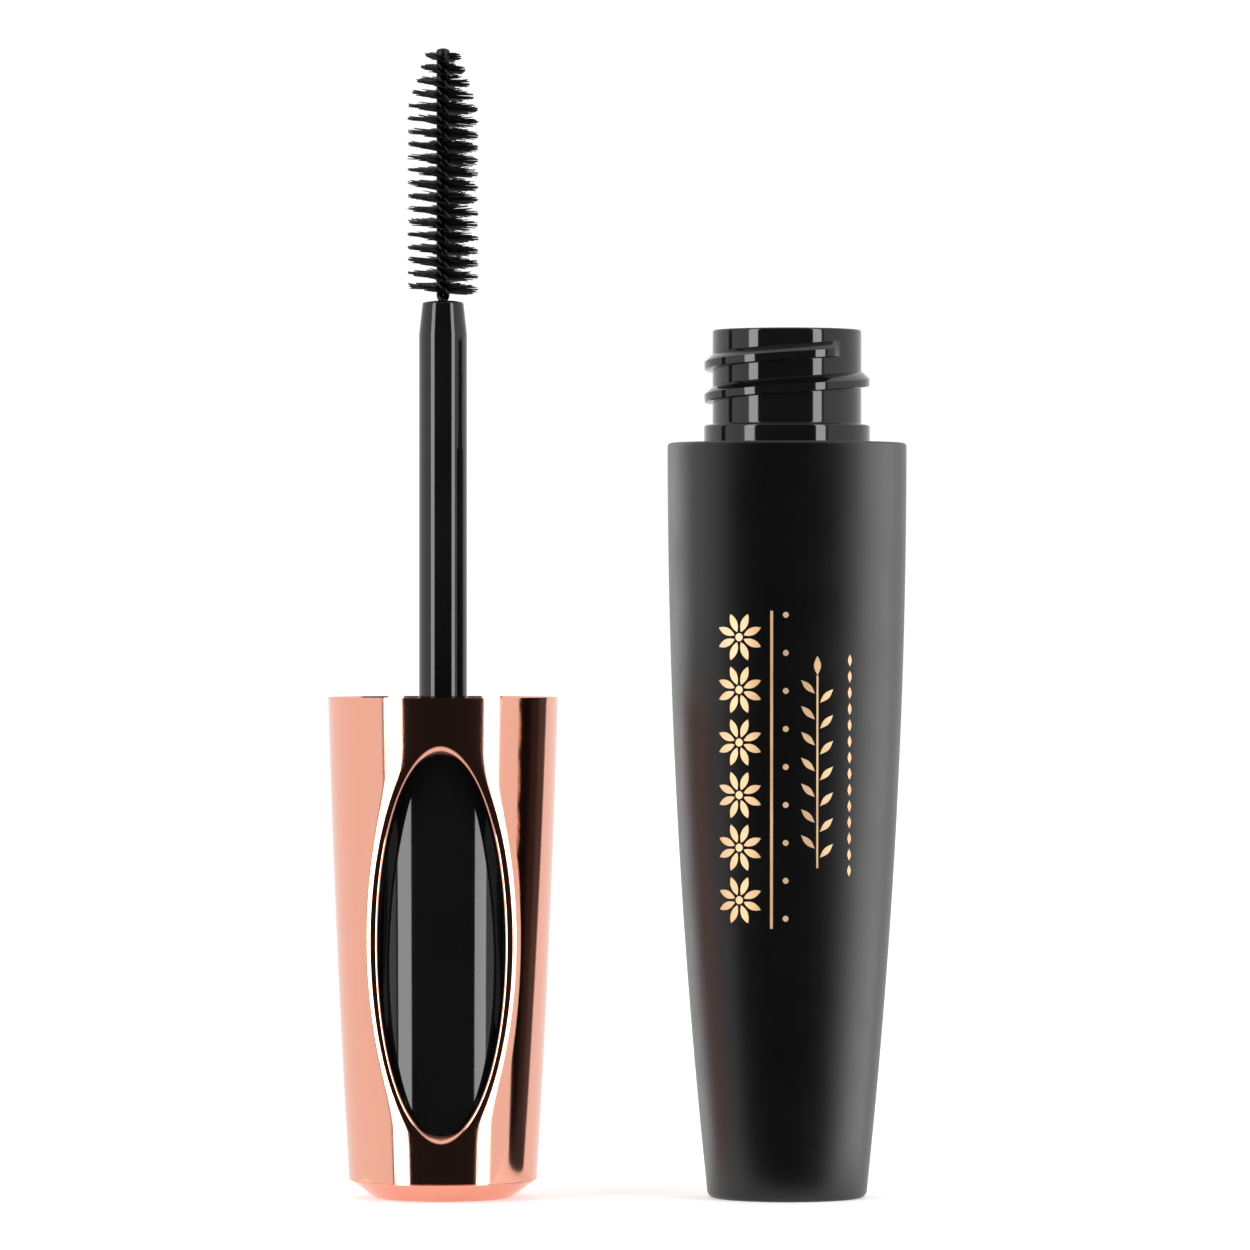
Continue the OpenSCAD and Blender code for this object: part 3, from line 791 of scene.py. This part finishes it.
# straight up and straight down the bands give way to an even ceiling and floor
steep = nodes.new("ShaderNodeMapRange")
steep.interpolation_type = "SMOOTHSTEP"
steep.inputs["From Min"].default_value = 0.62
steep.inputs["From Max"].default_value = 0.86
links.new(math_node("ABSOLUTE", split.outputs["Z"]), steep.inputs["Value"])
even = nodes.new("ShaderNodeMix")
even.data_type = "FLOAT"
links.new(steep.outputs["Result"], even.inputs[0])
links.new(ramp.outputs["Color"], even.inputs[2])
even.inputs[3].default_value = 1.0
seen = nodes.new("ShaderNodeLightPath")
around = nodes.new("ShaderNodeBackground")
around.inputs["Color"].default_value = (1, 1, 1, 1)
links.new(even.outputs[0], around.inputs["Strength"])
backdrop = nodes.new("ShaderNodeBackground")
backdrop.inputs["Color"].default_value = (1, 1, 1, 1)
backdrop.inputs["Strength"].default_value = 1.05
choose = nodes.new("ShaderNodeMixShader")
links.new(seen.outputs["Is Camera Ray"], choose.inputs[0])
links.new(around.outputs[0], choose.inputs[1])
links.new(backdrop.outputs[0], choose.inputs[2])
out = nodes.new("ShaderNodeOutputWorld")
links.new(choose.outputs[0], out.inputs["Surface"])

STRIP_BRIGHT, NECK_STRIP_BRIGHT = 6.3, 7.2
LIGHT_DISTANCE, LIGHT_LOW, LIGHT_HIGH = 2.0, -1.1, 1.7


def soft_box(name, bearing_from, bearing_to, brightness, pieces, state):
    """A tall soft box between two bearings. It lights only the pieces, or all but the pieces."""
    lamp = bpy.data.lights.new(name, "AREA")
    lamp.shape = "RECTANGLE"
    middle = math.radians((bearing_from + bearing_to) / 2)
    lamp.size = 2 * LIGHT_DISTANCE * math.tan(math.radians(bearing_to - bearing_from) / 2)
    lamp.size_y = LIGHT_HIGH - LIGHT_LOW
    lamp.energy = brightness * math.pi * lamp.size * lamp.size_y
    box = bpy.data.objects.new(name, lamp)
    scene.collection.objects.link(box)
    back = Vector((math.sin(middle), -math.cos(middle), 0))
    box.location = back * LIGHT_DISTANCE
    box.location.x += STAND_X / 2 * MM
    box.location.z = (LIGHT_HIGH + LIGHT_LOW) / 2
    box.rotation_mode = "QUATERNION"
    box.rotation_quaternion = (-back).to_track_quat("-Z", "Y")
    box.visible_camera = False
    group = bpy.data.collections.new(name + "_on")
    for piece in pieces:
        group.objects.link(piece)
    for member in group.collection_objects:
        member.light_linking.link_state = state
    box.light_linking.receiver_collection = group
    if state == "INCLUDE":  # nothing beside the pieces shades them
        box.light_linking.blocker_collection = group


soft_box("strip_left", -60, -41, STRIP_BRIGHT, [casing, vial], "EXCLUDE")
soft_box("strip_right", 43, 59, STRIP_BRIGHT, [casing, vial], "EXCLUDE")
soft_box("neck_left", -62, -46.5, NECK_STRIP_BRIGHT, [vial], "INCLUDE")
soft_box("neck_right", 40, 54, NECK_STRIP_BRIGHT, [vial], "INCLUDE")
soft_box("side_left", -150, -95, 1.15, [casing], "INCLUDE")
soft_box("side_right", 76, 122, 2.2, [casing], "INCLUDE")

camera = bpy.data.objects.new("camera", bpy.data.cameras.new("camera"))
scene.collection.objects.link(camera)
CAMERA_DISTANCE, FRAME_WIDTH = 0.8, 0.125
camera.data.sensor_width = 36
camera.data.lens = camera.data.sensor_width * CAMERA_DISTANCE / FRAME_WIDTH
camera.location = (-0.0162, -CAMERA_DISTANCE, 0.0572)
camera.rotation_euler = (math.radians(90), 0, 0)
camera.data.clip_start, camera.data.clip_end = 0.01, 20
scene.camera = camera
